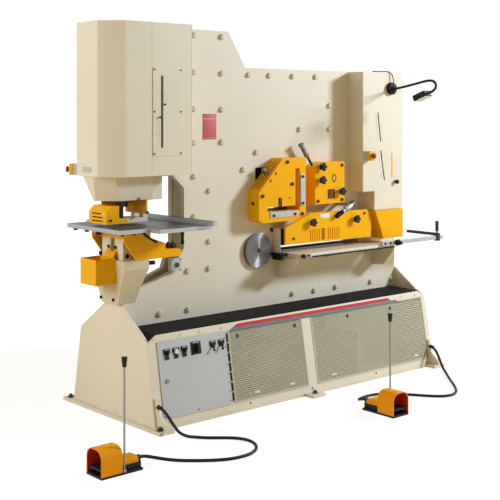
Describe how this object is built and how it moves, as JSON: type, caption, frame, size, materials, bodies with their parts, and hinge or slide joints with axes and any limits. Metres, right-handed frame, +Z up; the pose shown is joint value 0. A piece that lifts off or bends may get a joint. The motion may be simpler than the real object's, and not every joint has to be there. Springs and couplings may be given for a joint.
{
  "type": "hydraulic ironworker",
  "caption": "Floor-standing hydraulic ironworker: a punch station with table and throat at one end, a rocking shear for flats, angles and bars in a plate frame, foot pedals on cables.",
  "frame": {"origin": "on the floor, at the centre of the anchor holes of the base plate", "axes": "+X along the machine from the punch end to the shear end, -Y to the operator at the front, +Z up"},
  "size_m": [3.444, 1.685, 2.398],
  "materials": {
    "cream_paint": "smooth cream machine enamel",
    "yellow_paint": "amber-yellow machine enamel",
    "grey_paint": "light grey satin enamel",
    "pack_paint": "mid grey enamel",
    "mesh_paint": "greenish beige paint on perforated sheet",
    "tread_black": "black ribbed tread coating",
    "orange_paint": "orange enamel, red inside",
    "steel": "bare machined steel",
    "dark_steel": "oiled dark steel",
    "black_plastic": "matte black plastic",
    "white_plastic": "white push-button plastic",
    "yellow_plastic": "yellow plastic case",
    "red_plastic": "red plastic",
    "cable_rubber": "black rubber sheath"
  },
  "bodies": {
    "machine": {"base_plate": "cream_paint", "base_box": "cream_paint", "tread_plates": "tread_black", "mesh_panels": "mesh_paint", "power_pack": "pack_paint", "control_cabinet": "grey_paint", "front_frame_plate": "cream_paint", "rear_frame_plate": "cream_paint", "frame_spacers": "cream_paint", "frame_bolts": "dark_steel", "punch_cover": "cream_paint", "punch_slot_panel": "cream_paint", "punch_head": "cream_paint", "stripper_arms": "cream_paint", "stripper_guard": "yellow_paint", "die": "dark_steel", "die_holder": "cream_paint", "pedestal": "cream_paint", "slug_bin": "yellow_paint", "punch_table": "steel", "table_brackets": "yellow_paint", "pivot_shaft": "steel", "fixed_blades": "steel", "shear_cylinder": "steel", "shear_covers": "cream_paint", "angle_shear_plate": "yellow_paint", "section_holddown": "yellow_paint", "flat_shear_guard": "yellow_paint", "end_guard": "yellow_paint", "shear_table": "steel", "length_bar": "steel", "estop_boxes": "yellow_plastic", "work_lamp": "black_plastic", "cable_brackets": "cream_paint", "pedal_bases": "black_plastic", "pedal_hoods": "orange_paint", "left_pedal_cable": "cable_rubber", "right_pedal_cable": "cable_rubber"},
    "ram": {"punch_ram": "steel", "punch": "dark_steel"},
    "shear": {"shear_beam": "steel", "moving_blades": "steel"},
    "shear_piston": {"shear_rod": "steel"},
    "door": {"cabinet_door": "grey_paint", "control_plates": "black_plastic"},
    "main_switch": {"main_switch": "black_plastic"},
    "start_button": {"start_button": "white_plastic"},
    "mode_selector": {"mode_selector": "black_plastic"},
    "stroke_selector": {"stroke_selector": "black_plastic"},
    "fence": {"gauge_fence": "steel"},
    "spindle": {"holddown_spindle": "dark_steel"},
    "knob_1": {"star_knob_1": "black_plastic"},
    "knob_2": {"star_knob_2": "black_plastic"},
    "knob_3": {"star_knob_3": "black_plastic"},
    "knob_4": {"star_knob_4": "black_plastic"},
    "stop": {"length_stop": "dark_steel"},
    "left_stop_button": {"left_estop_button": "red_plastic"},
    "right_stop_button": {"right_estop_button": "red_plastic"},
    "left_pedal": {"left_treadle": "black_plastic"},
    "right_pedal": {"right_treadle": "black_plastic"}
  },
  "joints": [
    {"name": "punch_stroke", "type": "slide", "parent": "machine", "child": "ram", "axis": [0, 0, -1], "range_m": [0, 0.06]},
    {"name": "shear_stroke", "type": "hinge", "parent": "machine", "child": "shear", "pos_m": [-0.16, 0, 0.928], "axis": [0, 1, 0], "range_deg": [0, 4]},
    {"name": "piston_stroke", "type": "slide", "parent": "machine", "child": "shear_piston", "axis": [0, 0, -1], "range_m": [0, 0.0762]},
    {"name": "door_hinge", "type": "hinge", "parent": "machine", "child": "door", "pos_m": [-0.65584, -0.40131, 0.27892], "axis": [0, 0.1733, 0.9849], "range_deg": [0, 110]},
    {"name": "main_switch_turn", "type": "hinge", "parent": "door", "child": "main_switch", "pos_m": [-0.90436, -0.3746, 0.42903], "axis": [0, -0.9849, 0.1733], "range_deg": [-90, 0]},
    {"name": "start_press", "type": "slide", "parent": "door", "child": "start_button", "axis": [0, 0.9849, -0.1733], "range_m": [0, 0.0025], "stiffness_N_per_m": 800},
    {"name": "mode_turn", "type": "hinge", "parent": "door", "child": "mode_selector", "pos_m": [-0.99325, -0.3746, 0.42903], "axis": [0, -0.9849, 0.1733], "range_deg": [-45, 45]},
    {"name": "stroke_turn", "type": "hinge", "parent": "door", "child": "stroke_selector", "pos_m": [-1.12397, -0.3746, 0.42903], "axis": [0, -0.9849, 0.1733], "range_deg": [-45, 45]},
    {"name": "fence_slide", "type": "slide", "parent": "machine", "child": "fence", "axis": [-1, 0, 0], "range_m": [0, 0.19]},
    {"name": "spindle_turn", "type": "hinge", "parent": "machine", "child": "spindle", "pos_m": [0.202, -0.1375, 1.634], "axis": [0.5922, 0, -0.8058], "continuous": true},
    {"name": "knob_1_turn", "type": "hinge", "parent": "machine", "child": "knob_1", "pos_m": [0.33789, -0.2, 1.38407], "axis": [0, 1, 0], "continuous": true},
    {"name": "knob_2_turn", "type": "hinge", "parent": "machine", "child": "knob_2", "pos_m": [0.53294, -0.2, 1.29705], "axis": [0, 1, 0], "continuous": true},
    {"name": "knob_3_turn", "type": "hinge", "parent": "machine", "child": "knob_3", "pos_m": [0.22213, -0.2, 1.09998], "axis": [0, 1, 0], "continuous": true},
    {"name": "knob_4_turn", "type": "hinge", "parent": "machine", "child": "knob_4", "pos_m": [0.6546, -0.2, 1.09602], "axis": [0, 1, 0], "continuous": true},
    {"name": "stop_slide", "type": "slide", "parent": "machine", "child": "stop", "axis": [-1, 0, 0], "range_m": [-0.04, 0.195]},
    {"name": "left_stop_press", "type": "slide", "parent": "machine", "child": "left_stop_button", "axis": [0.7071, -0.7071, 0], "range_m": [0, 0.006]},
    {"name": "right_stop_press", "type": "slide", "parent": "machine", "child": "right_stop_button", "axis": [0, 1, 0], "range_m": [0, 0.006]},
    {"name": "left_pedal_press", "type": "hinge", "parent": "machine", "child": "left_pedal", "pos_m": [-1.82, -0.85, 0.041], "axis": [0, -1, 0], "range_deg": [0, 10], "stiffness_Nm_per_rad": 6, "springref_deg": -8.59},
    {"name": "right_pedal_press", "type": "hinge", "parent": "machine", "child": "right_pedal", "pos_m": [0.067, -1.045, 0.041], "axis": [1, 0, 0], "range_deg": [0, 10], "stiffness_Nm_per_rad": 6, "springref_deg": -8.59}
  ],
  "couplings": [
    {"joint": "piston_stroke", "follows": "shear_stroke", "m_per_rad": 1.08}
  ]
}
